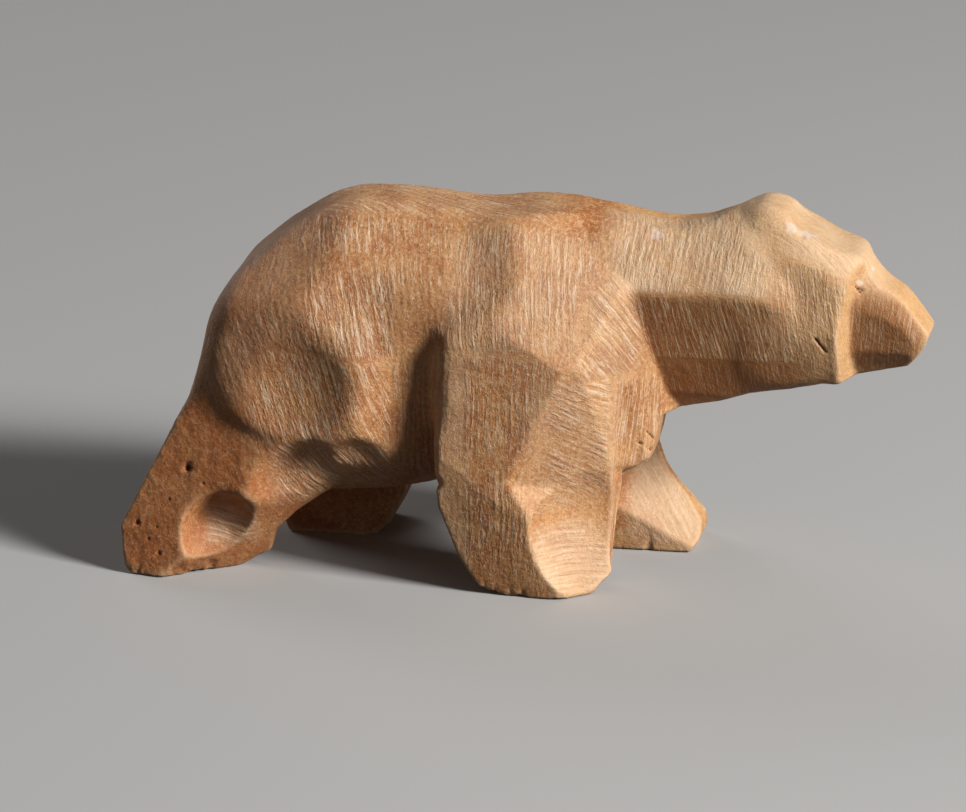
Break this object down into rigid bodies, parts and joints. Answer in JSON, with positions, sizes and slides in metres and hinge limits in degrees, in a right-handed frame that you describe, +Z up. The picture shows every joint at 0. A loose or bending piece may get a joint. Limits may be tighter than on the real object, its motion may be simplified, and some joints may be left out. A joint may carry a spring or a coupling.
{
  "type": "carved wooden bear figurine",
  "caption": "Small faceted walking bear carved from a single block of pale wood, with file marks, flat knife cuts and flat soles it stands on.",
  "frame": {"origin": "centre of the footprint of the bounding box, on the plane of the soles", "axes": "+X from tail to nose, +Y to the bear's left side, +Z up"},
  "size_m": [0.05, 0.0164, 0.0244],
  "materials": {
    "carved_wood": "raw carved wood with fine file marks, satin to matt, pale at the head and redder at the hind legs"
  },
  "bodies": {
    "root": {"carved_bear": "carved_wood"}
  },
  "joints": []
}
